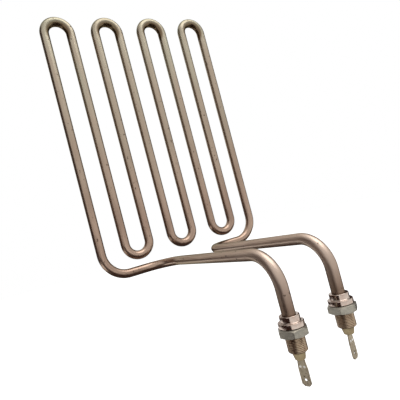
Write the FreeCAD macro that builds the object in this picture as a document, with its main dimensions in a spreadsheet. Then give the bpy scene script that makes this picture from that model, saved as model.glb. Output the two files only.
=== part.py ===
import FreeCAD, Part
import Sketcher
import math
import os

# Tubular heating element: one steel tube bent into eight upright legs. Its two ends come
# forward as leads and drop into threaded glands that fix it through a base plate.
# Frame: +Z up along the legs, leads towards -Y, X across the legs. The origin is in the
# plane where the glands' flanges meet the base plate, midway between the glands.

doc = FreeCAD.newDocument("heating_element")
Vector = FreeCAD.Vector

# Driving dimensions in millimetres, angles in degrees
SIZES = {
    # the bent tube
    "tube_diameter": 8.5,
    "tube_wall": 0.8,
    "hairpins": 4,
    "leg_pitch": 24.4,
    "coil_height": 247,
    "lower_bend_rise": 14,
    "corner_radius": 22.5,
    # the two leads
    "run_height": 45.2,
    "lead_spacing": 43.5,
    "lead_turn_radius": 27,
    "lead_reach": 160,
    "drop_radius": 22,
    # the glands
    "collar_diameter": 12.5,
    "collar_height": 4,
    "flange_diameter": 16,
    "flange_thickness": 3.2,
    "thread_diameter": 12,
    "shank_length": 15.4,
    "gland_chamfer": 0.6,
    # the hexagon nuts
    "nut_width": 17,
    "nut_thickness": 5.3,
    "nut_face_diameter": 16,
    "nut_chamfer_angle": 30,
    "left_nut_angle": -8,
    "right_nut_angle": -26,
    # the ceramic bushes and the seals in the tube's ends
    "bush_head_diameter": 8.3,
    "bush_tip_diameter": 6.6,
    "bush_head_length": 5,
    "bush_stem_length": 4,
    "seal_length": 8,
    # the terminal pins
    "pin_diameter": 3,
    "pin_depth": 34,
    # the blade terminals
    "blade_width": 6.3,
    "blade_thickness": 0.8,
    "blade_length": 16.5,
    "blade_corner": 1.6,
    "blade_hole_diameter": 1.7,
    "blade_hole_inset": 4,
    "weld_overlap": 8,
    "left_blade_angle": -71,
    "right_blade_angle": 14,
    # clearances
    "braze_gap": 0.03,
    "fill_gap": 0.02,
    "thread_gap": 0.05,
    "nut_gap": 0.3,
    "blade_gap": 0.5,
}

sheet = doc.addObject("Spreadsheet::Sheet", "sizes")
for row, (alias, value) in enumerate(SIZES.items(), start=1):
    sheet.set(f"A{row}", alias.replace("_", " "))
    sheet.set(f"B{row}", str(value))
    sheet.setAlias(f"B{row}", alias)
doc.recompute()

# Lengths that several pieces share, as expressions of the sheet's values
TUBE_BORE = "(sizes.tube_diameter - 2 * sizes.tube_wall)"
LINER = f"({TUBE_BORE} - 2 * sizes.fill_gap)"
STEM_TOP = "(sizes.bush_stem_length - sizes.shank_length)"
SEAL_TOP = f"({STEM_TOP} + sizes.seal_length)"
BUSH_TIP = "(-sizes.shank_length - sizes.bush_head_length)"
BLADE_TOP = f"({BUSH_TIP} - sizes.blade_gap)"
PIN_TOP = "(sizes.pin_depth - sizes.shank_length)"
PIN_BORE = "(sizes.pin_diameter + 2 * sizes.fill_gap)"
GLAND_BORE = "(sizes.tube_diameter + 2 * sizes.braze_gap)"
NUT_BORE = "(sizes.thread_diameter + 2 * sizes.thread_gap)"
SIDES = {"left": "-", "right": ""}


def size(alias):
    """The sheet's value under this alias."""
    return float(sheet.get(alias))


def origin_plane(body, role):
    """One of a body's own origin planes, such as XZ_Plane."""
    return next(f for f in body.Origin.OriginFeatures if f.Role == role)


def new_sketch(body, name, role):
    """A sketch on one of the body's origin planes."""
    sketch = body.newObject("Sketcher::SketchObject", name)
    sketch.AttachmentSupport = (origin_plane(body, role), [""])
    sketch.MapMode = "FlatFace"
    return sketch


def bind(sketch, expression, kind, *where):
    """Adds a dimension to a sketch and takes its value from an expression."""
    number = sketch.addConstraint(Sketcher.Constraint(kind, *where, 1))
    sketch.setExpression(f"Constraints[{number}]", expression)


def add_outline(sketch, corners):
    """A closed outline of straight edges. Each corner is a pair of expressions, across and up."""
    count = len(corners)
    rough = [Vector(1 + math.cos(n), math.sin(n), 0) for n in range(count)]
    first = sketch.GeometryCount
    for n in range(count):
        sketch.addGeometry(Part.LineSegment(rough[n], rough[(n + 1) % count]))
    for n in range(count):
        following = first + (n + 1) % count
        sketch.addConstraint(Sketcher.Constraint("Coincident", first + n, 2, following, 1))
    for n, (across, up) in enumerate(corners):
        bind(sketch, across, "DistanceX", -1, 1, first + n, 1)
        bind(sketch, up, "DistanceY", -1, 1, first + n, 1)


def stand_on_gland(piece, side):
    """Puts a piece on one gland's axis."""
    piece.setExpression("Placement.Base.x", f"{SIDES[side]}sizes.lead_spacing / 2")


def turned_body(name, corners):
    """A body turned about Z from an outline of radii and heights."""
    body = doc.addObject("PartDesign::Body", name)
    profile = new_sketch(body, name + "_profile", "XZ_Plane")
    add_outline(profile, corners)
    turning = body.newObject("PartDesign::Revolution", name + "_turning")
    turning.Profile = profile
    turning.ReferenceAxis = (profile, ["V_Axis"])
    return body


def cylinder(name, diameter, low, high):
    """A cylinder about Z between two heights."""
    rod = doc.addObject("Part::Cylinder", name)
    rod.setExpression("Radius", f"{diameter} / 2")
    rod.setExpression("Height", f"{high} - ({low})")
    rod.setExpression("Placement.Base.z", low)
    return rod


def cut(name, base, tool):
    """One solid with another taken away from it."""
    result = doc.addObject("Part::Cut", name)
    result.Base = base
    result.Tool = tool
    return result


# The centreline: straight runs joined by tangent arcs, from the left end to the right end

def rounded_path(points, radii):
    """A wire through the points, each corner replaced by a tangent arc of its own radius."""
    edges = []
    last = points[0]
    for before, corner, after, radius in zip(points, points[1:], points[2:], radii):
        arriving = (corner - before).normalize()
        leaving = (after - corner).normalize()
        turn = arriving.getAngle(leaving)
        setback = radius * math.tan(turn / 2)
        start = corner - arriving * setback
        end = corner + leaving * setback
        inward = (leaving - arriving).normalize()
        middle = corner + inward * (radius / math.cos(turn / 2) - radius)
        if (start - last).Length > 1e-6:
            edges.append(Part.LineSegment(last, start).toShape())
        edges.append(Part.Arc(start, middle, end).toShape())
        last = end
    edges.append(Part.LineSegment(last, points[-1]).toShape())
    return Part.Wire(edges)


def tube_centreline(end_height):
    """The whole centreline, with both ends at one height on the glands' axes."""
    pitch = size("leg_pitch")
    legs = 2 * int(size("hairpins"))
    depth = size("lead_reach")
    low = size("run_height")
    top = low + size("coil_height")
    bottom = low + size("lower_bend_rise")
    half_lead = size("lead_spacing") / 2
    first_leg = -pitch * (legs - 1) / 2
    points = [
        Vector(-half_lead, 0, end_height),
        Vector(-half_lead, 0, low),
        Vector(-half_lead, depth, low),
        Vector(first_leg, depth, low),
    ]
    radii = [size("drop_radius"), size("lead_turn_radius"), size("corner_radius")]
    for leg in range(legs - 1):
        level = bottom if leg % 2 else top
        for x in (first_leg + leg * pitch, first_leg + (leg + 1) * pitch):
            points.append(Vector(x, depth, level))
            radii.append(pitch / 2)
    points += [Vector(-p.x, p.y, p.z) for p in reversed(points[:4])]
    radii += list(reversed(radii[:3]))
    return rounded_path(points, radii)


def sheath(name):
    """The rolled tube: one rod that holds its coil and packed magnesia for good, open at both
    ends for the seal, the bush and the terminal pin."""
    path = doc.addObject("Part::Feature", name + "_path")
    path.Shape = tube_centreline(-size("shank_length"))
    body = doc.addObject("PartDesign::Body", name)
    section = new_sketch(body, name + "_section", "XY_Plane")
    section.setExpression("AttachmentOffset.Base.z", "-sizes.shank_length")
    circle = section.addGeometry(Part.Circle(Vector(-1, 0, 0), Vector(0, 0, 1), 1))
    section.addConstraint(Sketcher.Constraint("PointOnObject", circle, 3, -1))
    bind(section, "-sizes.lead_spacing / 2", "DistanceX", -1, 1, circle, 3)
    bind(section, "sizes.tube_diameter", "Diameter", circle)
    sweep = body.newObject("PartDesign::AdditivePipe", name + "_sweep")
    sweep.Profile = section
    sweep.Spine = (path, [f"Edge{n + 1}" for n in range(len(path.Shape.Edges))])
    for side, sign in SIDES.items():
        mouth = new_sketch(body, f"{name}_{side}_mouth", "XZ_Plane")
        mouth.setExpression("AttachmentOffset.Base.x", f"{sign}sizes.lead_spacing / 2")
        add_outline(mouth, [
            ("0", "-sizes.shank_length"),
            (f"{TUBE_BORE} / 2", "-sizes.shank_length"),
            (f"{TUBE_BORE} / 2", SEAL_TOP),
            (f"{PIN_BORE} / 2", SEAL_TOP),
            (f"{PIN_BORE} / 2", PIN_TOP),
            ("0", PIN_TOP),
        ])
        boring = body.newObject("PartDesign::Groove", f"{name}_{side}_boring")
        boring.Profile = mouth
        boring.ReferenceAxis = (mouth, ["V_Axis"])
    return body


def gland(name):
    """Turned gland: collar round the tube, flange that bears on the plate, threaded shank."""
    bore = f"{GLAND_BORE} / 2"
    collar = "sizes.collar_diameter / 2"
    flange = "sizes.flange_diameter / 2"
    shank = "sizes.thread_diameter / 2"
    edge = "sizes.gland_chamfer"
    top = "sizes.flange_thickness + sizes.collar_height"
    return turned_body(name, [
        (bore, "-sizes.shank_length"),
        (f"{shank} - {edge}", "-sizes.shank_length"),
        (shank, f"-sizes.shank_length + {edge}"),
        (shank, "0"),
        (flange, "0"),
        (flange, f"sizes.flange_thickness - {edge}"),
        (f"{flange} - {edge}", "sizes.flange_thickness"),
        (collar, "sizes.flange_thickness"),
        (collar, f"{top} - {edge}"),
        (f"{collar} - {edge}", top),
        (bore, top),
    ])


def nut(name):
    """Hexagon nut: a six-sided prism whose corners a turned barrel chamfers, bored through."""
    corner = "sizes.nut_width / sqrt(3)"
    face = "sizes.nut_face_diameter / 2"
    top = "-sizes.nut_gap"
    bottom = f"({top} - sizes.nut_thickness)"
    slope = f"({corner} - {face}) * tan(sizes.nut_chamfer_angle * 1 deg)"
    barrel = turned_body(name + "_barrel", [
        (f"{NUT_BORE} / 2", bottom),
        (face, bottom),
        (corner, f"{bottom} + {slope}"),
        (corner, f"{top} - {slope}"),
        (face, top),
        (f"{NUT_BORE} / 2", top),
    ])
    prism = doc.addObject("Part::Prism", name + "_prism")
    prism.Polygon = 6
    prism.setExpression("Circumradius", corner)
    prism.setExpression("Height", "sizes.nut_thickness")
    prism.setExpression("Placement.Base.z", bottom)
    common = doc.addObject("Part::Common", name)
    common.Base = prism
    common.Tool = barrel
    return common


def bush(name):
    """Ceramic bush: a stem in the tube's mouth and a tapered head below the gland's shank."""
    bore = f"{PIN_BORE} / 2"
    return turned_body(name, [
        (bore, BUSH_TIP),
        ("sizes.bush_tip_diameter / 2", BUSH_TIP),
        ("sizes.bush_head_diameter / 2", "-sizes.shank_length"),
        (f"{LINER} / 2", "-sizes.shank_length"),
        (f"{LINER} / 2", STEM_TOP),
        (bore, STEM_TOP),
    ])


def seal(name):
    """Moisture seal between the bush's stem and the magnesia."""
    plug = cylinder(name + "_plug", LINER, STEM_TOP, SEAL_TOP)
    return cut(name, plug, cylinder(name + "_bore", PIN_BORE, STEM_TOP, SEAL_TOP))


def pin(name):
    """Terminal pin: a rod from the coil to the blade, with a flat where the blade is welded."""
    foot = f"({BLADE_TOP} - sizes.weld_overlap)"
    rod = cylinder(name + "_rod", "sizes.pin_diameter", foot, PIN_TOP)
    flat = doc.addObject("Part::Box", name + "_flat")
    flat.setExpression("Length", "2 * sizes.pin_diameter")
    flat.setExpression("Width", "2 * sizes.pin_diameter")
    flat.setExpression("Height", "sizes.weld_overlap")
    flat.setExpression("Placement.Base.x", "-sizes.pin_diameter")
    flat.setExpression("Placement.Base.y", "sizes.blade_thickness / 2 - 2 * sizes.pin_diameter")
    flat.setExpression("Placement.Base.z", foot)
    return cut(name, rod, flat)


def blade(name):
    """Flat blade terminal with clipped tip corners and a latch hole."""
    side = "sizes.blade_width / 2"
    clip = "sizes.blade_corner"
    tip = f"({BLADE_TOP} - sizes.blade_length)"
    body = doc.addObject("PartDesign::Body", name)
    profile = new_sketch(body, name + "_profile", "XZ_Plane")
    add_outline(profile, [
        (f"-{side}", BLADE_TOP),
        (f"-{side}", f"{tip} + {clip}"),
        (f"-{side} + {clip}", tip),
        (f"{side} - {clip}", tip),
        (side, f"{tip} + {clip}"),
        (side, BLADE_TOP),
    ])
    hole = profile.addGeometry(Part.Circle(Vector(0, -1, 0), Vector(0, 0, 1), 1))
    profile.addConstraint(Sketcher.Constraint("PointOnObject", hole, 3, -2))
    bind(profile, f"{tip} + sizes.blade_hole_inset", "DistanceY", -1, 1, hole, 3)
    bind(profile, "sizes.blade_hole_diameter", "Diameter", hole)
    pad = body.newObject("PartDesign::Pad", name + "_sheet")
    pad.Profile = profile
    pad.Midplane = True
    pad.setExpression("Length", "sizes.blade_thickness")
    return body


pieces = {"sheath_tube": sheath("sheath_tube")}
for side in SIDES:
    for kind in (gland, nut, bush, seal, pin, blade):
        node = f"{side}_{kind.__name__}"
        pieces[node] = kind(node)
        stand_on_gland(pieces[node], side)
    for kind, angle in ((nut, "nut_angle"), (pin, "blade_angle"), (blade, "blade_angle")):
        turned = pieces[f"{side}_{kind.__name__}"]
        turned.setExpression("Placement.Rotation.Angle", f"sizes.{side}_{angle} * 1 deg")

doc.recompute()

failed = [o.Name for o in doc.Objects if {"Invalid", "Error"} & set(o.State)]
for node, piece in pieces.items():
    if piece.Shape.isNull() or not piece.Shape.isValid() or not piece.Shape.Solids:
        failed.append(node)
if failed:
    raise RuntimeError(f"these objects failed: {failed}")

os.makedirs("parts", exist_ok=True)
for node, piece in pieces.items():
    piece.Label = node
    piece.Shape.exportStep(f"parts/{node}.step")
    box = piece.Shape.BoundBox
    print(f"{node}: {len(piece.Shape.Solids)} solid, {piece.Shape.Volume:.1f} mm3, z {box.ZMin:.2f} to {box.ZMax:.2f}")
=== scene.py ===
import bpy
import bmesh
import math
import numpy as np
from mathutils import Matrix, Vector


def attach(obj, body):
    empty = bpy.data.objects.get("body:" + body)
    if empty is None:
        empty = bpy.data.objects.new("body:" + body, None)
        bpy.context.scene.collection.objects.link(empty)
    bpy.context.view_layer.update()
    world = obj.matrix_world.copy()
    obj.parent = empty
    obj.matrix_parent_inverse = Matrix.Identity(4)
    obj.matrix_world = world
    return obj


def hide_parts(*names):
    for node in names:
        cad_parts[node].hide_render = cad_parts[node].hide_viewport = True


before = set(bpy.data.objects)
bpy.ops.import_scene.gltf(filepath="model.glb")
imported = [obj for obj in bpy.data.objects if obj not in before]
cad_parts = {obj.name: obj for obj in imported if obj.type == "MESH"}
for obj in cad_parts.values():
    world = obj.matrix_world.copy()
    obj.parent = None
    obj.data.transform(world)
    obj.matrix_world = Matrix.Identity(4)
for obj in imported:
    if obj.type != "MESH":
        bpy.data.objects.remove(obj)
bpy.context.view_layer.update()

# The rolled tube: stainless steel over packed magnesia, bent cold from one length. Eight
# upright legs, hairpin bends above and below, two leads forward and two drops to the glands.
# Sizes are the solid's own, in metres, but for the radius: it is a hair under 4.25 mm, so that
# the skin stays inside the solid's box. Both ends are bored for seal and bush.

TUBE_RADIUS = 0.004236
TUBE_BORE_RADIUS = 0.00345
HAIRPINS = 4
LEG_PITCH = 0.0244
RUN_HEIGHT = 0.0452
COIL_HEIGHT = 0.247
BEND_CLEARANCE = 0.014
LEAD_X = 0.02175
LEAD_REACH = 0.160
CORNER_RADIUS = 0.0225
LEAD_TURN_RADIUS = 0.027
DROP_RADIUS = 0.022
SHANK_LENGTH = 0.0154
SEAL_TOP = -0.0034
PIN_TOP = 0.0186
PIN_BORE_RADIUS = 0.00152
TUBE_COLUMNS = 48
BEND_STEPS = 18
STRAIGHT_STEP = 0.004
SAME_PLACE = 1e-6

TOP_HEIGHT = RUN_HEIGHT + COIL_HEIGHT
LOWER_BEND_HEIGHT = RUN_HEIGHT + BEND_CLEARANCE
HAIRPIN_RADIUS = LEG_PITCH / 2


def unit(v):
    """v over its length."""
    return v / np.linalg.norm(v)


def tube_route():
    """Corners and bend radii of the centreline, from the left end to the right end."""
    first_leg = -LEG_PITCH * (HAIRPINS - 0.5)
    lead = np.array([
        [-LEAD_X, 0, -SHANK_LENGTH],
        [-LEAD_X, 0, RUN_HEIGHT],
        [-LEAD_X, LEAD_REACH, RUN_HEIGHT],
        [first_leg, LEAD_REACH, RUN_HEIGHT],
    ])
    lead_radii = [DROP_RADIUS, LEAD_TURN_RADIUS, CORNER_RADIUS]
    bends = np.arange(2 * HAIRPINS - 1)
    level = np.where(bends % 2, LOWER_BEND_HEIGHT, TOP_HEIGHT)
    legs = np.stack([
        first_leg + LEG_PITCH * np.stack([bends, bends + 1], 1).ravel(),
        np.full(2 * len(bends), LEAD_REACH),
        np.repeat(level, 2),
    ], 1)
    points = np.vstack([lead, legs, (lead * [-1, 1, 1])[::-1]])
    radii = lead_radii + [HAIRPIN_RADIUS] * len(legs) + lead_radii[::-1]
    return points, radii


def turned(vectors, axis, angle):
    """A vector turned about a unit axis by each angle: the vector by the cosine, its cross
    product with the axis by the sine, and its part along the axis by what the cosine leaves."""
    angle = np.atleast_1d(angle)[:, None]
    return (vectors * np.cos(angle) + np.cross(axis, vectors) * np.sin(angle)
            + axis * (axis @ vectors) * (1 - np.cos(angle)))


def swept_frames(points, radii):
    """Places along the rounded route: centres, directions along it and directions across it.
    Across turns with each bend about the bend's own axis, so the skin never twists."""
    places = []
    side = np.array([0.0, 1.0, 0.0])
    last = points[0]
    for i in range(1, len(points)):
        along = unit(points[i] - points[i - 1])
        if i < len(points) - 1:
            leaving = unit(points[i + 1] - points[i])
            turn = math.acos(np.clip(along @ leaving, -1, 1))
            setback = radii[i - 1] * math.tan(turn / 2)
            start = points[i] - along * setback
        else:
            start, turn = points[i], 0.0
        length = (start - last) @ along
        if length > SAME_PLACE:
            steps = max(2, int(length / STRAIGHT_STEP))
            t = np.linspace(0, 1, steps, endpoint=False)[:, None]
            places.append((last + (start - last) * t, t * 0 + along, t * 0 + side))
        if turn:
            axis = unit(np.cross(along, leaving))
            outward = np.cross(along, axis)
            angle = np.linspace(0, turn, BEND_STEPS, endpoint=False)
            spoke = turned(outward, axis, angle)
            places.append((start + (spoke - outward) * radii[i - 1], np.cross(axis, spoke),
                           turned(side, axis, angle)))
            side = turned(side, axis, turn)[0]
            last = start + (along + leaving) * setback
    places.append((points[-1:], along[None], side[None]))
    return [np.concatenate(part) for part in zip(*places)]


def grid_faces(rows, columns):
    """Quads of a grid whose columns close on themselves, row after row."""
    a = np.arange(rows - 1)[:, None] * columns + np.arange(columns)
    b = np.arange(rows - 1)[:, None] * columns + (np.arange(columns) + 1) % columns
    return np.stack([a, b, b + columns, a + columns], -1).reshape(-1, 4)


def add_piece(name, grid, skin=None, sharp=32):
    """A closed surface from rows of rings. Rings that meet are merged, faces turn outwards and
    edges bent by more than the sharp angle stay crisp. The skin is a vector for each point that
    a finish can follow."""
    rows, columns = grid.shape[:2]
    mesh = bpy.data.meshes.new(name)
    mesh.from_pydata(grid.reshape(-1, 3).tolist(), [], grid_faces(rows, columns).tolist())
    if skin is not None:
        layer = mesh.attributes.new("skin", "FLOAT_VECTOR", "POINT")
        layer.data.foreach_set("vector", skin.reshape(-1, 3).astype(np.float32).ravel())
    shell = bmesh.new()
    shell.from_mesh(mesh)
    bmesh.ops.remove_doubles(shell, verts=shell.verts, dist=SAME_PLACE)
    bmesh.ops.recalc_face_normals(shell, faces=shell.faces)
    shell.to_mesh(mesh)
    shell.free()
    mesh.polygons.foreach_set("use_smooth", np.ones(len(mesh.polygons), bool))
    mesh.set_sharp_from_angle(angle=math.radians(sharp))
    piece = bpy.data.objects.new(name, mesh)
    bpy.context.scene.collection.objects.link(piece)
    return piece


def heated_tube():
    """The tube's skin: a circle carried along the route, and at each end the rim, the wide bore,
    the pin's bore and its closed bottom, as rings of their own depth and radius."""
    centres, along, across = swept_frames(*tube_route())
    depth = np.array([SHANK_LENGTH + PIN_TOP] * 2 + [SHANK_LENGTH + SEAL_TOP] * 2 + [0.0])
    bore = np.array([0.0] + [PIN_BORE_RADIUS] * 2 + [TUBE_BORE_RADIUS] * 2)
    first = centres[0] + along[0] * depth[:, None]
    last = (centres[-1] - along[-1] * depth[:, None])[::-1]
    radius = np.concatenate([bore, np.full(len(centres), TUBE_RADIUS), bore[::-1]])
    length = np.concatenate([[0], np.cumsum(np.linalg.norm(np.diff(centres, axis=0), axis=1))])
    length = np.pad(length, len(bore), mode="edge")
    along = np.pad(along, ((len(bore),) * 2, (0, 0)), mode="edge")
    across = np.pad(across, ((len(bore),) * 2, (0, 0)), mode="edge")
    centres = np.concatenate([first, centres, last])
    angle = np.linspace(0, 2 * np.pi, TUBE_COLUMNS, endpoint=False)[:, None]
    ring = across[:, None] * np.cos(angle) + np.cross(along, across)[:, None] * np.sin(angle)
    skin = centres[:, None] + ring * radius[:, None, None]
    straight = np.stack(np.broadcast_arrays(
        TUBE_RADIUS * np.cos(angle[:, 0]), TUBE_RADIUS * np.sin(angle[:, 0]), length[:, None]), -1)
    return add_piece("heated_tube", skin, straight)


tube = heated_tube()
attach(tube, "root")
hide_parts("sheath_tube")

FLECK_EDGE = 0.07


def new_group(name, inputs, outputs):
    """An empty node group with named inputs and outputs, each a label and a socket's kind."""
    group = bpy.data.node_groups.new(name, "ShaderNodeTree")
    for label, kind in inputs:
        group.interface.new_socket(label, in_out="INPUT", socket_type="NodeSocket" + kind)
    for label, kind in outputs:
        group.interface.new_socket(label, in_out="OUTPUT", socket_type="NodeSocket" + kind)
    return group, group.nodes.new("NodeGroupInput"), group.nodes.new("NodeGroupOutput")


def set_inputs(node, **values):
    """Sets a node's input values by name, with _ for a space in the name."""
    for label, value in values.items():
        node.inputs[label.replace("_", " ")].default_value = value
    return node


def flecks_group():
    """Scattered small spots: a noise cut off near its top, with a soft edge, at its own scale."""
    group, start, end = new_group(
        "flecks", [("Place", "Vector"), ("Scale", "Float"), ("Cutoff", "Float")],
        [("Mask", "Float")])
    nodes, links = group.nodes, group.links
    noise = set_inputs(nodes.new("ShaderNodeTexNoise"), Detail=3.0)
    edge = set_inputs(nodes.new("ShaderNodeMapRange"), To_Min=0.0, To_Max=1.0)
    upper = nodes.new("ShaderNodeMath")
    upper.inputs[1].default_value = FLECK_EDGE
    links.new(start.outputs["Place"], noise.inputs["Vector"])
    links.new(start.outputs["Scale"], noise.inputs["Scale"])
    links.new(noise.outputs["Fac"], edge.inputs["Value"])
    links.new(start.outputs["Cutoff"], edge.inputs["From Min"])
    links.new(start.outputs["Cutoff"], upper.inputs[0])
    links.new(upper.outputs[0], edge.inputs["From Max"])
    links.new(edge.outputs["Result"], end.inputs["Mask"])
    return group


def marks_group():
    """Fine marks of drawing, turning or rolling: a noise stretched along the marks. It gives a
    roughness between two limits and a height."""
    group, start, end = new_group(
        "tool_marks",
        [("Place", "Vector"), ("Stretch", "Vector"), ("Scale", "Float"), ("Least", "Float"),
         ("Most", "Float")],
        [("Roughness", "Float"), ("Height", "Float")])
    nodes, links = group.nodes, group.links
    stretch = nodes.new("ShaderNodeVectorMath")
    stretch.operation = "MULTIPLY"
    noise = set_inputs(nodes.new("ShaderNodeTexNoise"), Detail=3.0)
    rough = set_inputs(nodes.new("ShaderNodeMapRange"), From_Min=0.3, From_Max=0.7)
    links.new(start.outputs["Place"], stretch.inputs[0])
    links.new(start.outputs["Stretch"], stretch.inputs[1])
    links.new(stretch.outputs[0], noise.inputs["Vector"])
    links.new(start.outputs["Scale"], noise.inputs["Scale"])
    links.new(noise.outputs["Fac"], rough.inputs["Value"])
    links.new(start.outputs["Least"], rough.inputs["To Min"])
    links.new(start.outputs["Most"], rough.inputs["To Max"])
    links.new(rough.outputs["Result"], end.inputs["Roughness"])
    links.new(noise.outputs["Fac"], end.inputs["Height"])
    return group


def clouding_group():
    """Soft uneven tint: one colour drifts into another in patches of a given scale."""
    group, start, end = new_group(
        "clouding",
        [("Place", "Vector"), ("Stretch", "Vector"), ("Scale", "Float"), ("Ground", "Color"),
         ("Patch", "Color")],
        [("Color", "Color")])
    nodes, links = group.nodes, group.links
    stretch = nodes.new("ShaderNodeVectorMath")
    stretch.operation = "MULTIPLY"
    noise = set_inputs(nodes.new("ShaderNodeTexNoise"), Detail=4.0, Roughness=0.55)
    share = set_inputs(nodes.new("ShaderNodeMapRange"), From_Min=0.35, From_Max=0.65)
    tint = nodes.new("ShaderNodeMix")
    tint.data_type = "RGBA"
    links.new(start.outputs["Place"], stretch.inputs[0])
    links.new(start.outputs["Stretch"], stretch.inputs[1])
    links.new(stretch.outputs[0], noise.inputs["Vector"])
    links.new(start.outputs["Scale"], noise.inputs["Scale"])
    links.new(noise.outputs["Fac"], share.inputs["Value"])
    links.new(share.outputs["Result"], tint.inputs["Factor"])
    links.new(start.outputs["Ground"], tint.inputs[6])
    links.new(start.outputs["Patch"], tint.inputs[7])
    links.new(tint.outputs[2], end.inputs["Color"])
    return group


flecks, tool_marks, clouding = flecks_group(), marks_group(), clouding_group()


class Finish:
    """One material in the making: its nodes and links, and short ways to add to them."""

    def __init__(self, name):
        self.material = bpy.data.materials.new(name)
        self.material.use_nodes = True
        self.nodes, self.links = self.material.node_tree.nodes, self.material.node_tree.links
        self.shader = self.nodes["Principled BSDF"]

    def object_place(self):
        """Each point's place on the object."""
        return self.nodes.new("ShaderNodeTexCoord").outputs["Object"]

    def skin_place(self):
        """Each point's place on the straightened or unrolled piece."""
        attribute = self.nodes.new("ShaderNodeAttribute")
        attribute.attribute_name = "skin"
        return attribute.outputs["Vector"]

    def part_of(self, vector, axis):
        """One coordinate of a place."""
        split = self.nodes.new("ShaderNodeSeparateXYZ")
        self.links.new(vector, split.inputs[0])
        return split.outputs[axis]

    def group(self, group, place, **values):
        """A shared group at its place, with this finish's own values."""
        node = self.nodes.new("ShaderNodeGroup")
        node.node_tree = group
        self.links.new(place, node.inputs["Place"])
        return set_inputs(node, **values)

    def between(self, value, low, high, to_low=0.0, to_high=1.0):
        """A value carried from one range to another."""
        spread = self.nodes.new("ShaderNodeMapRange")
        set_inputs(spread, From_Min=low, From_Max=high, To_Min=to_low, To_Max=to_high)
        self.links.new(value, spread.inputs["Value"])
        return spread.outputs["Result"]

    def total(self, first, second):
        """The sum of two outputs."""
        node = self.nodes.new("ShaderNodeMath")
        self.links.new(first, node.inputs[0])
        self.links.new(second, node.inputs[1])
        return node.outputs[0]

    def mix(self, share, under, over, blend="MIX"):
        """Two colours mixed by a share. Each is a colour or another node's output."""
        node = self.nodes.new("ShaderNodeMix")
        node.data_type = "RGBA"
        node.blend_type = blend
        self.links.new(share, node.inputs["Factor"])
        for socket, colour in ((node.inputs[6], under), (node.inputs[7], over)):
            if isinstance(colour, tuple):
                socket.default_value = (*colour, 1)
            else:
                self.links.new(colour, socket)
        return node.outputs[2]

    def vector(self, operation, *inputs):
        """A vector operation on places and fixed vectors, as its node."""
        node = self.nodes.new("ShaderNodeVectorMath")
        node.operation = operation
        for socket, value in zip(node.inputs, inputs):
            if isinstance(value, tuple):
                socket.default_value = value
            else:
                self.links.new(value, socket)
        return node

    def bump(self, height, distance, strength=1.0):
        """Height as relief on the surface."""
        relief = set_inputs(self.nodes.new("ShaderNodeBump"), Strength=strength, Distance=distance)
        self.links.new(height, relief.inputs["Height"])
        self.links.new(relief.outputs["Normal"], self.shader.inputs["Normal"])

    def feed(self, **outputs):
        """Links outputs to the shader's inputs by name."""
        for label, output in outputs.items():
            self.links.new(output, self.shader.inputs[label.replace("_", " ")])


BROWNER_BELOW = 0.09, 0.27
COLD_LEADS = 0.155, 0.125
# Painted shade with a slight grey-green tint: the heights over which the top bends are darkened.
GREY_SHADED_BENDS = 0.276, 0.292
# Painted shade: the heights over which the drops are darkened.
SHADED_DROPS = 0.040, 0.010
DULL_DROPS = 0.09, 0.03
# Painted shade: the soft edge of the dark inside of each top bend.
SHADE_EDGE = 0.0022


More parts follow.
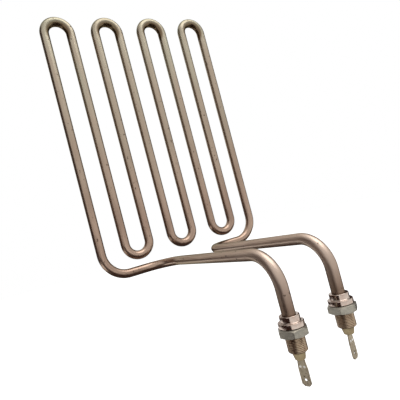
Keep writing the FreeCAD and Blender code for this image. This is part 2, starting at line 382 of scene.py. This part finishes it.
def tube_finish():
    """Heat-tinted stainless: olive-beige above, browner and pinker below, pale on the leads that
    stay colder, painted shade with a slight grey-green tint on the top bends, and painted shade
    on the drops, which are also duller. The tint is cloudy along the tube, with draw lines and a
    few dark pits. Painted shade, brown, fills the inside of each top bend: where the distance to
    the bend's centre, with X wrapped over one hairpin's width, is under the bend's radius."""
    finish = Finish("heat_tinted_stainless")
    skin, place = finish.skin_place(), finish.object_place()
    depth, height = finish.part_of(place, "Y"), finish.part_of(place, "Z")
    upper = finish.group(clouding, skin, Stretch=(1, 1, 0.16), Scale=130.0,
                         Ground=(0.43, 0.395, 0.30, 1), Patch=(0.41, 0.335, 0.255, 1))
    lower = finish.group(clouding, skin, Stretch=(1, 1, 0.16), Scale=150.0,
                         Ground=(0.40, 0.287, 0.218, 1), Patch=(0.305, 0.21, 0.158, 1))
    rise = finish.between(height, *BROWNER_BELOW)
    tint = finish.mix(rise, lower.outputs["Color"], upper.outputs["Color"])
    cold = finish.between(depth, *COLD_LEADS, 0.0, 0.8)
    tint = finish.mix(cold, tint, (0.62, 0.495, 0.41))
    # Painted shade: the drops darkened towards the bottom.
    drop_shade = finish.between(height, *SHADED_DROPS)
    tint = finish.mix(drop_shade, tint, (0.40, 0.35, 0.315), "MULTIPLY")
    # Painted shade with a slight grey-green tint: the top bends darkened.
    bend = finish.between(height, *GREY_SHADED_BENDS)
    tint = finish.mix(bend, tint, (0.72, 0.75, 0.73), "MULTIPLY")
    # Painted shade: the inside of each top bend darkened brown.
    hairpin = finish.vector("WRAP", place, (2 * LEG_PITCH, 1, 1), (0, -1, -1)).outputs[0]
    hairpin = finish.vector("MULTIPLY", hairpin, (1, 0, 1)).outputs[0]
    reach = finish.vector("DISTANCE", hairpin, (LEG_PITCH, 0, TOP_HEIGHT - HAIRPIN_RADIUS))
    inside = finish.between(reach.outputs["Value"], HAIRPIN_RADIUS, HAIRPIN_RADIUS - SHADE_EDGE)
    tint = finish.mix(inside, tint, (0.40, 0.32, 0.25), "MULTIPLY")
    pits = finish.group(flecks, skin, Scale=330.0, Cutoff=0.665)
    tint = finish.mix(pits.outputs["Mask"], tint, (0.05, 0.03, 0.02))
    lines = finish.group(tool_marks, skin, Stretch=(1, 1, 0.02), Scale=900.0, Least=0.27,
                         Most=0.33)
    dull = finish.between(depth, *DULL_DROPS, 0.0, 0.11)
    finish.feed(Base_Color=tint, Roughness=finish.total(lines.outputs["Roughness"], dull))
    finish.bump(lines.outputs["Height"], 0.000004, 0.1)
    set_inputs(finish.shader, Metallic=0.95, Specular_Tint=(0.25, 0.27, 0.21, 1))
    return finish.material


tube.data.materials.append(tube_finish())

# The glands: turned from brass bar and nickel plated, brazed on the tube's ends. Each is a
# collar, a flange that bears on the base plate, and a shank with an M12 x 1 thread.

SIDES = {"left": -LEAD_X, "right": LEAD_X}
GLAND_BORE_RADIUS = 0.00428
COLLAR_RADIUS = 0.00625
COLLAR_TOP = 0.0072
FLANGE_RADIUS = 0.008
FLANGE_TOP = 0.0032
THREAD_RADIUS = 0.006
THREAD_PITCH = 0.001
THREAD_DEPTH = 0.00022
THREAD_TOP = -0.0005
THREAD_CREST = 0.45
THREAD_FLANK = 0.5
THREAD_ROWS = 8
GLAND_COLUMNS = 96
EDGE = 0.0006
CORNER = 0.0003
BEARING_EDGE = 0.0002
TARNISH = -0.004, -0.0065


def rounded(radius, height):
    """A quarter round from the side up to the face above, its corner at radius and height."""
    t = np.linspace(0, np.pi / 2, 5)
    return np.stack([radius + EDGE * (np.cos(t) - 1), height + EDGE * (np.sin(t) - 1)], 1)


def spun(profile, columns, centre):
    """A profile of radii and heights turned about the upright axis at centre."""
    angle = np.linspace(0, 2 * np.pi, columns, endpoint=False)
    radius, height = profile[:, None, 0], profile[:, None, 1]
    return np.stack(np.broadcast_arrays(
        centre + radius * np.cos(angle), radius * np.sin(angle), height), -1)


def gland(name, centre):
    """The gland's outline turned about its axis. On the shank the radius follows the thread:
    the pitch's triangle wave in height less angle, clipped to wide crests and short roots, and
    faded out over one pitch at both ends. The skin holds height and depth of groove."""
    below = np.arange(-SHANK_LENGTH + EDGE, THREAD_TOP, THREAD_PITCH / THREAD_ROWS)
    shank = np.stack([np.full(len(below), THREAD_RADIUS), below], 1)
    profile = np.vstack([
        [[GLAND_BORE_RADIUS, -SHANK_LENGTH], [THREAD_RADIUS - EDGE, -SHANK_LENGTH]],
        shank,
        [[THREAD_RADIUS, 0], [FLANGE_RADIUS - BEARING_EDGE, 0], [FLANGE_RADIUS, BEARING_EDGE]],
        rounded(FLANGE_RADIUS, FLANGE_TOP),
        [[COLLAR_RADIUS + CORNER, FLANGE_TOP], [COLLAR_RADIUS, FLANGE_TOP + CORNER]],
        rounded(COLLAR_RADIUS, COLLAR_TOP),
        [[GLAND_BORE_RADIUS, COLLAR_TOP], [GLAND_BORE_RADIUS, -SHANK_LENGTH]],
    ])
    grid = spun(profile, GLAND_COLUMNS, centre)
    share = np.linspace(0, 1, GLAND_COLUMNS, endpoint=False)
    wave = np.abs(((below[:, None] / THREAD_PITCH - share) % 1.0) * 2 - 1)
    groove = np.clip((wave - THREAD_CREST) / THREAD_FLANK, 0, 1)
    ends = np.minimum(below - below[0], below[-1] - below) / THREAD_PITCH
    groove *= np.clip(ends, 0, 1)[:, None]
    rows = slice(2, 2 + len(below))
    deep = groove * THREAD_DEPTH
    grid[rows, :, 0] -= deep * np.cos(2 * np.pi * share)
    grid[rows, :, 1] -= deep * np.sin(2 * np.pi * share)
    skin = np.zeros(grid.shape)
    skin[..., 1] = profile[:, None, 1]
    skin[rows, :, 2] = groove
    return add_piece(name, grid, skin)


def nickel_finish():
    """Worn nickel over brass: bright with a pink cast, tarnished tan-brown and rougher on the
    thread, with painted shade in its grooves, and turning marks round the axis."""
    finish = Finish("worn_nickel")
    place, skin = finish.object_place(), finish.skin_place()
    plate = finish.group(clouding, place, Stretch=(1, 1, 1), Scale=420.0,
                         Ground=(0.46, 0.39, 0.335, 1), Patch=(0.40, 0.305, 0.255, 1))
    tarnish = finish.group(clouding, place, Stretch=(1, 1, 0.5), Scale=500.0,
                           Ground=(0.44, 0.345, 0.24, 1), Patch=(0.37, 0.26, 0.175, 1))
    height = finish.part_of(skin, "Y")
    below = finish.between(height, *TARNISH)
    tint = finish.mix(below, plate.outputs["Color"], tarnish.outputs["Color"])
    # Painted shade: the thread's grooves darkened by their depth.
    groove = finish.between(finish.part_of(skin, "Z"), 0.35, 1.0)
    tint = finish.mix(groove, tint, (0.30, 0.215, 0.145))
    marks = finish.group(tool_marks, place, Stretch=(0.08, 0.08, 1), Scale=3000.0, Least=0.13,
                         Most=0.19)
    dull = finish.between(height, *TARNISH, 0.0, 0.2)
    finish.feed(Base_Color=tint, Roughness=finish.total(marks.outputs["Roughness"], dull))
    set_inputs(finish.shader, Metallic=1.0)
    return finish.material


nickel = nickel_finish()
for side, centre in SIDES.items():
    piece = gland(side + "_gland_turned", centre)
    piece.data.materials.append(nickel)
    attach(piece, "root")
    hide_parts(side + "_gland")

# The nuts: hexagon nuts, zinc plated, that clamp the base plate from below. Each corner is
# chamfered at top and bottom, and the flats' edges are slightly worn round.

NUT_APOTHEM = 0.0085
NUT_FACE_RADIUS = 0.008
NUT_BORE_RADIUS = 0.00605
NUT_TOP = -0.0003
NUT_BOTTOM = -0.0056
NUT_CORNER_ROUND = 0.0005
NUT_FACE_EDGE = 0.0001
NUT_FACE_RISE = 0.00004
NUT_SLOPE = math.tan(math.radians(30))
NUT_TURN = {"left": -8, "right": -26}


def hexagon(turn):
    """A hexagon's outline with rounded corners: an arc at each corner, then points along the
    flat to the next arc."""
    corner = np.arange(6)[:, None] * np.pi / 3 + math.radians(turn)
    sweep = corner + np.linspace(-np.pi / 6, np.pi / 6, 5)
    reach = (NUT_APOTHEM - NUT_CORNER_ROUND) / math.cos(math.pi / 6)
    arc = np.stack([reach * np.cos(corner) + NUT_CORNER_ROUND * np.cos(sweep),
                    reach * np.sin(corner) + NUT_CORNER_ROUND * np.sin(sweep)], -1)
    following = np.roll(arc, -1, 0)[:, :1]
    share = np.linspace(0, 1, 11)[1:-1, None]
    flat = arc[:, -1:] + (following - arc[:, -1:]) * share
    return np.concatenate([arc, flat], 1).reshape(-1, 2)


def nut(name, centre, turn):
    """Rings from the lower bore over the lower face, up the flats and back down the bore. Where
    the outline reaches further than the face, the cone of the chamfer takes that much off."""
    outline = hexagon(turn)
    reach = np.linalg.norm(outline, axis=1)
    round_way = outline / reach[:, None]
    chamfer = (reach - NUT_FACE_RADIUS) * NUT_SLOPE
    rings = [
        (round_way * NUT_BORE_RADIUS, NUT_BOTTOM),
        (round_way * (NUT_FACE_RADIUS - NUT_FACE_EDGE), NUT_BOTTOM),
        (round_way * NUT_FACE_RADIUS, NUT_BOTTOM + NUT_FACE_RISE),
        (outline, NUT_BOTTOM + chamfer),
        (outline, NUT_TOP - chamfer),
        (round_way * NUT_FACE_RADIUS, NUT_TOP - NUT_FACE_RISE),
        (round_way * (NUT_FACE_RADIUS - NUT_FACE_EDGE), NUT_TOP),
        (round_way * NUT_BORE_RADIUS, NUT_TOP),
        (round_way * NUT_BORE_RADIUS, NUT_BOTTOM),
    ]
    grid = np.stack([np.column_stack([flat[:, 0] + centre, flat[:, 1], reach * 0 + height])
                     for flat, height in rings])
    return add_piece(name, grid, sharp=24)


def zinc_finish():
    """Dull zinc plate: pale grey with a green cast, patchy, with small handling marks."""
    finish = Finish("dull_zinc")
    place = finish.object_place()
    plate = finish.group(clouding, place, Stretch=(1, 1, 1), Scale=380.0,
                         Ground=(0.39, 0.365, 0.305, 1), Patch=(0.29, 0.275, 0.23, 1))
    spots = finish.group(flecks, place, Scale=1500.0, Cutoff=0.68)
    tint = finish.mix(spots.outputs["Mask"], plate.outputs["Color"], (0.22, 0.20, 0.17))
    marks = finish.group(tool_marks, place, Stretch=(1, 1, 0.3), Scale=2600.0, Least=0.26,
                         Most=0.44)
    finish.feed(Base_Color=tint, Roughness=marks.outputs["Roughness"])
    finish.bump(marks.outputs["Height"], 0.00003, 0.4)
    set_inputs(finish.shader, Metallic=0.85)
    return finish.material


zinc = zinc_finish()
for side, centre in SIDES.items():
    piece = nut(side + "_hexagon_nut", centre, NUT_TURN[side])
    piece.data.materials.append(zinc)
    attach(piece, "root")
    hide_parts(side + "_nut")

# The bushes: pressed and fired ceramic, a stem in the tube's mouth and a tapered head below the
# shank, which keeps the live pin away from the metal.

BUSH_HEAD_RADIUS = 0.00415
BUSH_TIP_RADIUS = 0.0033
BUSH_STEM_RADIUS = 0.00343
BUSH_STEM_TOP = -0.0114
BUSH_TIP = -0.0204


def bush(name, centre):
    """The stem, the head's tapered side and its rounded lower edge, turned about the axis."""
    t = np.linspace(0, np.pi / 2, 6)
    lip = np.stack([BUSH_TIP_RADIUS + EDGE * (np.sin(t) - 1),
                    BUSH_TIP + EDGE * (1 - np.cos(t))], 1)
    profile = np.vstack([
        [[PIN_BORE_RADIUS, BUSH_TIP]], lip,
        [[BUSH_HEAD_RADIUS, -SHANK_LENGTH - CORNER], [BUSH_HEAD_RADIUS - CORNER, -SHANK_LENGTH],
         [BUSH_STEM_RADIUS, -SHANK_LENGTH], [BUSH_STEM_RADIUS, BUSH_STEM_TOP],
         [PIN_BORE_RADIUS, BUSH_STEM_TOP], [PIN_BORE_RADIUS, BUSH_TIP]],
    ])
    return add_piece(name, spun(profile, 64, centre))


def ceramic_finish():
    """Fired ceramic with sealing lacquer soaked in: yellow-beige, mottled and faintly pitted."""
    finish = Finish("lacquered_ceramic")
    place = finish.object_place()
    body = finish.group(clouding, place, Stretch=(1, 1, 1), Scale=350.0,
                        Ground=(0.46, 0.365, 0.20, 1), Patch=(0.35, 0.26, 0.14, 1))
    pores = finish.group(flecks, place, Scale=2600.0, Cutoff=0.66)
    tint = finish.mix(pores.outputs["Mask"], body.outputs["Color"], (0.30, 0.23, 0.13))
    grain = finish.group(tool_marks, place, Stretch=(1, 1, 1), Scale=3000.0, Least=0.38, Most=0.6)
    finish.feed(Base_Color=tint, Roughness=grain.outputs["Roughness"])
    finish.bump(grain.outputs["Height"], 0.00005, 0.5)
    return finish.material


ceramic = ceramic_finish()
for side, centre in SIDES.items():
    piece = bush(side + "_ceramic_bush", centre)
    piece.data.materials.append(ceramic)
    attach(piece, "root")
    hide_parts(side + "_bush")

# The blades: 6.3 x 0.8 mm push-on terminals stamped from steel sheet, slightly narrower at the
# top. The tip's corners are clipped, a latch hole is pierced near it, and two weld spots hold
# the blade to its pin.

BLADE_HALF_WIDTH = 0.00315
BLADE_HALF_THICKNESS = 0.0004
BLADE_TOP = -0.0209
BLADE_TIP = -0.0374
BLADE_NECK_HALF_WIDTH = 0.0026
BLADE_NECK = 0.001
BLADE_SHOULDER = 0.0045
BLADE_CLIP = 0.0016
BLADE_CLIP_INSET = 0.4
BLADE_EDGE = 0.00012
BLADE_TURN = {"left": -71, "right": 14}
HOLE_RADIUS = 0.00085
HOLE_HEIGHT = BLADE_TIP + 0.004
WELD_HEIGHT = BLADE_TOP - 0.0042
WELD_SPREAD = 0.00125
WELD_RADIUS = 0.0008
WELD_RISE = 0.00022


def blade_outline(inset):
    """The blade's outline, moved inwards by the inset, as points spread between its corners:
    clipped tip, straight side, a taper to the neck and the neck, then the same mirrored."""
    side, clip = BLADE_HALF_WIDTH - inset, BLADE_CLIP - inset * BLADE_CLIP_INSET
    neck, neck_end = BLADE_NECK_HALF_WIDTH - inset, BLADE_TOP - BLADE_NECK
    half = np.array([
        [side - clip, BLADE_TIP + inset], [side, BLADE_TIP + clip],
        [side, neck_end - BLADE_SHOULDER], [neck, neck_end], [neck, BLADE_TOP - inset],
    ])
    corners = np.vstack([half, half[::-1] * [-1, 1]])
    share = np.linspace(0, 1, 8, endpoint=False)[:, None]
    following = np.roll(corners, -1, 0)
    return (corners[:, None] + (following - corners)[:, None] * share).reshape(-1, 2)


def turned_flat(flat, depth, centre, turn):
    """Points of the blade's plane and their depth through it, turned about the upright axis."""
    a = math.radians(turn)
    return np.stack([centre + flat[..., 0] * math.cos(a) - depth * math.sin(a),
                     flat[..., 0] * math.sin(a) + depth * math.cos(a), flat[..., 1]], -1)


def blade(name, centre, turn):
    """Rings from the hole's front rim out over the front face, round the edge and back over the
    rear face into the hole. Each face point lies on the line from the hole to the outline."""
    full, inner = blade_outline(0), blade_outline(BLADE_EDGE)
    way = full - [0, HOLE_HEIGHT]
    way = way / np.linalg.norm(way, axis=1)[:, None]
    hole = way * HOLE_RADIUS + [0, HOLE_HEIGHT]
    wide = way * (HOLE_RADIUS + BLADE_EDGE) + [0, HOLE_HEIGHT]
    half, edge = BLADE_HALF_THICKNESS, BLADE_HALF_THICKNESS - BLADE_EDGE
    rings = [(hole, -edge), (wide, -half), (inner, -half), (full, -edge),
             (full, edge), (inner, half), (wide, half), (hole, edge), (hole, -edge)]
    grid = np.stack([turned_flat(flat, depth, centre, turn) for flat, depth in rings])
    return add_piece(name, grid, sharp=40)


def weld_spot(name, centre, turn, across):
    """A low dome on the blade's front: rings from its rim to its crown, then the flat back."""
    angle = np.linspace(0, 2 * np.pi, 20, endpoint=False)
    rise = np.linspace(0, np.pi / 2, 6)
    radius = np.concatenate([[0], WELD_RADIUS * np.cos(rise)])[:, None]
    depth = np.concatenate([[0], -WELD_RISE * np.sin(rise)])[:, None] - BLADE_HALF_THICKNESS
    flat = np.stack([across + radius * np.cos(angle), WELD_HEIGHT + radius * np.sin(angle)], -1)
    return add_piece(name, turned_flat(flat, depth + angle * 0, centre, turn), sharp=60)


def blade_finish():
    """Rolled steel sheet with a thin, stained nickel wash: grey-tan, streaked along the blade."""
    finish = Finish("stained_terminal_steel")
    place = finish.object_place()
    wash = finish.group(clouding, place, Stretch=(1, 1, 0.4), Scale=420.0,
                        Ground=(0.47, 0.405, 0.295, 1), Patch=(0.385, 0.32, 0.225, 1))
    spots = finish.group(flecks, place, Scale=700.0, Cutoff=0.59)
    tint = finish.mix(spots.outputs["Mask"], wash.outputs["Color"], (0.13, 0.10, 0.07))
    lines = finish.group(tool_marks, place, Stretch=(1, 1, 0.05), Scale=3200.0, Least=0.28,
                         Most=0.45)
    finish.feed(Base_Color=tint, Roughness=lines.outputs["Roughness"])
    finish.bump(lines.outputs["Height"], 0.00002, 0.4)
    set_inputs(finish.shader, Metallic=0.8)
    return finish.material


def weld_finish():
    """Bright fused metal with a slightly rippled skin."""
    finish = Finish("bright_weld")
    place = finish.object_place()
    skin = finish.group(clouding, place, Stretch=(1, 1, 1), Scale=2500.0,
                        Ground=(0.97, 0.95, 0.90, 1), Patch=(0.92, 0.88, 0.80, 1))
    ripple = finish.group(tool_marks, place, Stretch=(1, 1, 1), Scale=4000.0, Least=0.3, Most=0.45)
    finish.feed(Base_Color=skin.outputs["Color"], Roughness=ripple.outputs["Roughness"])
    set_inputs(finish.shader, Metallic=0.3)
    return finish.material


terminal_steel, bright_weld = blade_finish(), weld_finish()
for side, centre in SIDES.items():
    piece = blade(side + "_blade_terminal", centre, BLADE_TURN[side])
    piece.data.materials.append(terminal_steel)
    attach(piece, "root")
    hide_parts(side + "_blade")
    for number, across in enumerate((-WELD_SPREAD, WELD_SPREAD), start=1):
        spot = weld_spot(f"{side}_weld_spot_{number}", centre, BLADE_TURN[side], across)
        spot.data.materials.append(bright_weld)
        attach(spot, "root")

# The pins and seals: a steel pin runs from each blade through the bush and the seal to the
# coil. The seal is a red-brown silicone plug in the tube's end, hidden above the bush.


def pin_finish():
    """Drawn steel wire with lines along it."""
    finish = Finish("drawn_pin_steel")
    place = finish.object_place()
    wire = finish.group(clouding, place, Stretch=(1, 1, 0.3), Scale=600.0,
                        Ground=(0.46, 0.43, 0.37, 1), Patch=(0.36, 0.31, 0.25, 1))
    lines = finish.group(tool_marks, place, Stretch=(1, 1, 0.03), Scale=3600.0, Least=0.26,
                         Most=0.42)
    finish.feed(Base_Color=wire.outputs["Color"], Roughness=lines.outputs["Roughness"])
    finish.bump(lines.outputs["Height"], 0.00002, 0.4)
    set_inputs(finish.shader, Metallic=0.9)
    return finish.material


def seal_finish():
    """Matt silicone with a fine cured grain."""
    finish = Finish("silicone_seal")
    place = finish.object_place()
    body = finish.group(clouding, place, Stretch=(1, 1, 1), Scale=500.0,
                        Ground=(0.40, 0.115, 0.075, 1), Patch=(0.31, 0.08, 0.05, 1))
    grain = finish.group(tool_marks, place, Stretch=(1, 1, 1), Scale=3500.0, Least=0.55, Most=0.75)
    finish.feed(Base_Color=body.outputs["Color"], Roughness=grain.outputs["Roughness"])
    finish.bump(grain.outputs["Height"], 0.00003, 0.4)
    return finish.material


for kind, material in (("pin", pin_finish()), ("seal", seal_finish())):
    for side in SIDES:
        node = bpy.data.objects[f"{side}_{kind}"]
        node.data.materials.clear()
        node.data.materials.append(material)

# The stage: a white floor in a white room. Dark cards that only reflections show stand left,
# right and behind, near the drops and below, as flags do in a studio, so that the round metal
# has dark edges and a bright middle.

FLOOR_HEIGHT = -0.30
FLOOR_SIZE = 12
FLOOR_GLOW = 0.8
ROOM_LIGHT = 0.45
LAMP_TARGET = (0, 0.1, 0.12)
FLAGS = (
    ("flag_left", (-0.93, 0.57, 0.5), (1, -0.07, 0), 1.5, 2.4),
    ("flag_back", (0.1, 1.1, -0.28), (-0.1, -1, 0), 2.0, 0.8),
    ("flag_right", (1.08, 0.60, 0.5), (-1, 0.1, 0), 1.0, 2.4),
    ("flag_near", (-0.34, -0.115, -0.10), (1, 0.25, 0), 0.33, 0.3),
    ("flag_low", (0.37, 0.06, -0.19), (-1, 0.05, 0), 0.26, 0.3),
    ("flag_under", (0.05, 0.02, -0.28), (0, 0, 1), 1.0, 1.36),
)


def shown_white(nodes, links, dim, bright):
    """A level: bright for what the camera, a mirror or a lens sees, and dim for the rest."""
    path = nodes.new("ShaderNodeLightPath")
    seen = path.outputs["Is Camera Ray"]
    for kind in ("Is Glossy Ray", "Is Transmission Ray"):
        more = nodes.new("ShaderNodeMath")
        more.operation = "MAXIMUM"
        links.new(seen, more.inputs[0])
        links.new(path.outputs[kind], more.inputs[1])
        seen = more.outputs[0]
    level = set_inputs(nodes.new("ShaderNodeMapRange"), To_Min=dim, To_Max=bright)
    links.new(seen, level.inputs["Value"])
    return level.outputs["Result"]


def flat_card(name, centre, normal, width, height, finish):
    """A flat rectangle that faces along its normal."""
    turn = Vector(normal).to_track_quat("Z", "Y").to_matrix().to_4x4()
    place = Matrix.Translation(Vector(centre)) @ turn
    corners = [place @ Vector((x * width / 2, y * height / 2, 0))
               for x, y in ((-1, -1), (1, -1), (1, 1), (-1, 1))]
    mesh = bpy.data.meshes.new(name)
    mesh.from_pydata([tuple(c) for c in corners], [], [(0, 1, 2, 3)])
    mesh.materials.append(finish.material)
    card = bpy.data.objects.new(name, mesh)
    bpy.context.scene.collection.objects.link(card)
    return card


paper = Finish("white_paper")
set_inputs(paper.shader, Base_Color=(0.9, 0.9, 0.9, 1), Roughness=0.9, Emission_Color=(1, 1, 1, 1))
paper.feed(Emission_Strength=shown_white(paper.nodes, paper.links, 0.0, FLOOR_GLOW))
flat_card("floor", (0, 0, FLOOR_HEIGHT), (0, 0, 1), FLOOR_SIZE, FLOOR_SIZE, paper)
cloth = Finish("flag_cloth")
set_inputs(cloth.shader, Base_Color=(0.055, 0.021, 0.015, 1), Roughness=0.9)
for name, centre, normal, width, height in FLAGS:
    flag = flat_card(name, centre, normal, width, height, cloth)
    flag.visible_camera = False
    flag.visible_shadow = False
    flag.visible_diffuse = False

world = bpy.data.worlds.new("white_room")
bpy.context.scene.world = world
world.use_nodes = True
room, links = world.node_tree.nodes, world.node_tree.links
set_inputs(room["Background"], Color=(1, 1, 1, 1))
links.new(shown_white(room, links, ROOM_LIGHT, 1.0), room["Background"].inputs["Strength"])


def soft_lamp(name, place, size, power, mirrored):
    """A square area lamp that points at the element. Mirrored says if the metal shows it."""
    light = bpy.data.lights.new(name, "AREA")
    light.shape = "SQUARE"
    light.size = size
    light.energy = power
    lamp = bpy.data.objects.new(name, light)
    lamp.location = place
    aim = Vector(LAMP_TARGET) - Vector(place)
    lamp.rotation_euler = aim.to_track_quat("-Z", "Y").to_euler()
    lamp.visible_glossy = mirrored
    bpy.context.scene.collection.objects.link(lamp)


soft_lamp("key", (0.35, -0.25, 1.2), size=1.0, power=8, mirrored=True)
soft_lamp("fill", (-0.5, -1.0, 0.5), size=0.8, power=3, mirrored=False)

# The camera stands in front and to the left of the element and is turned about its own line of
# sight, as the photograph's was. The small shift is the photograph's own framing.

FOCAL_PIXELS = 373.3845
PICTURE_PIXELS = 400
CENTRE_OFFSET_PIXELS = 20
CAMERA_PLACE = (-0.165178, -0.182597, 0.074512)
CAMERA_TURN = (91.160268, 14.682275, -25.644674)

view = bpy.data.cameras.new("camera")
view.sensor_width = 36
view.lens = FOCAL_PIXELS * view.sensor_width / PICTURE_PIXELS
view.shift_x = CENTRE_OFFSET_PIXELS / PICTURE_PIXELS
view.shift_y = CENTRE_OFFSET_PIXELS / PICTURE_PIXELS
view.clip_start = 0.01
camera = bpy.data.objects.new("camera", view)
camera.location = CAMERA_PLACE
camera.rotation_euler = [math.radians(a) for a in CAMERA_TURN]
bpy.context.scene.collection.objects.link(camera)
bpy.context.scene.camera = camera
bpy.context.scene.view_settings.view_transform = "Standard"
